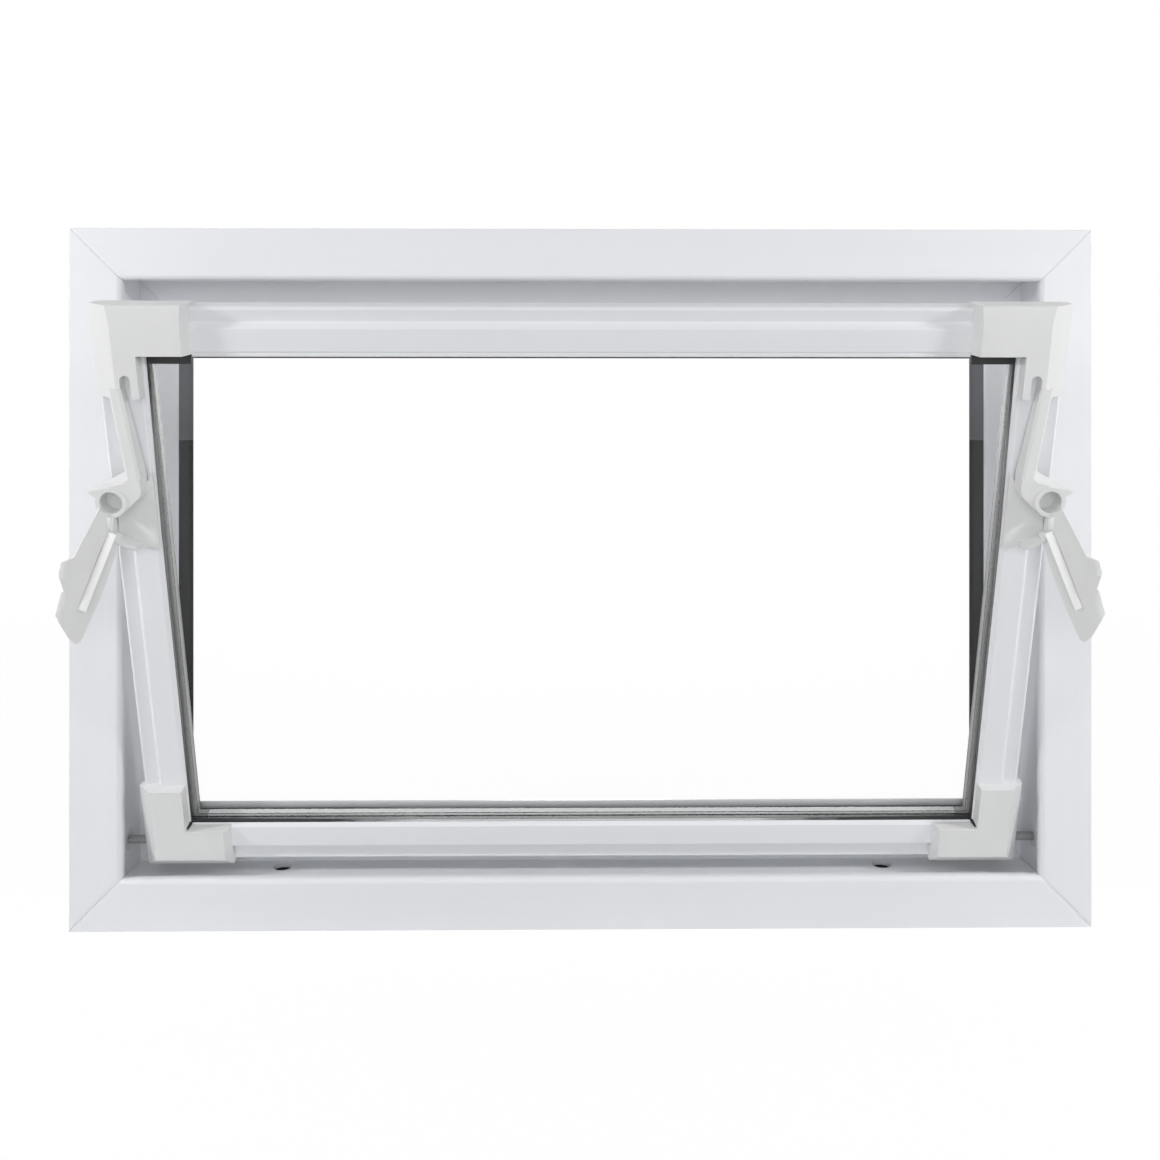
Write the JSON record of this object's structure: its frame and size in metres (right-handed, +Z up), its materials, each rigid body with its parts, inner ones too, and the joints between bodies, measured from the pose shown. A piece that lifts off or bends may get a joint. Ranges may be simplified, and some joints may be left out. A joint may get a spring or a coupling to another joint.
{
  "type": "hopper window",
  "caption": "White plastic hopper window: a fixed mitred frame and a double-glazed sash hung at its foot, tilted into the room, with moulded corners and side latches.",
  "frame": {"origin": "on the underside of the sill, at mid-length and mid-depth of the frame", "axes": "+X along the sill to the right as seen from the room, +Y outwards from the room, +Z up"},
  "size_m": [0.6, 0.1366, 0.411],
  "materials": {
    "profile_plastic": "satin white",
    "moulded_plastic": "satin white",
    "glass": "clear",
    "gasket_rubber": "matt black",
    "spacer_aluminium": "mill"
  },
  "bodies": {
    "frame": {"frame_sill": "profile_plastic", "frame_head": "profile_plastic", "frame_jamb_left": "profile_plastic", "frame_jamb_right": "profile_plastic", "hinge_bush_left": "moulded_plastic", "hinge_bush_right": "moulded_plastic"},
    "sash": {"sash_top_rail": "profile_plastic", "sash_bottom_rail": "profile_plastic", "sash_stile_left": "profile_plastic", "sash_stile_right": "profile_plastic", "corner_top_left": "moulded_plastic", "corner_top_right": "moulded_plastic", "corner_bottom_left": "moulded_plastic", "corner_bottom_right": "moulded_plastic", "inner_pane": "glass", "outer_pane": "glass", "spacer_frame": "spacer_aluminium", "inner_gasket": "gasket_rubber", "outer_gasket": "gasket_rubber", "latch_left": "moulded_plastic", "latch_right": "moulded_plastic"}
  },
  "joints": [
    {"name": "sash_tilt", "type": "hinge", "parent": "frame", "child": "sash", "pos_m": [0, -0.007, 0.0458], "axis": [-1, 0, 0], "range_deg": [0, 15.1]}
  ]
}
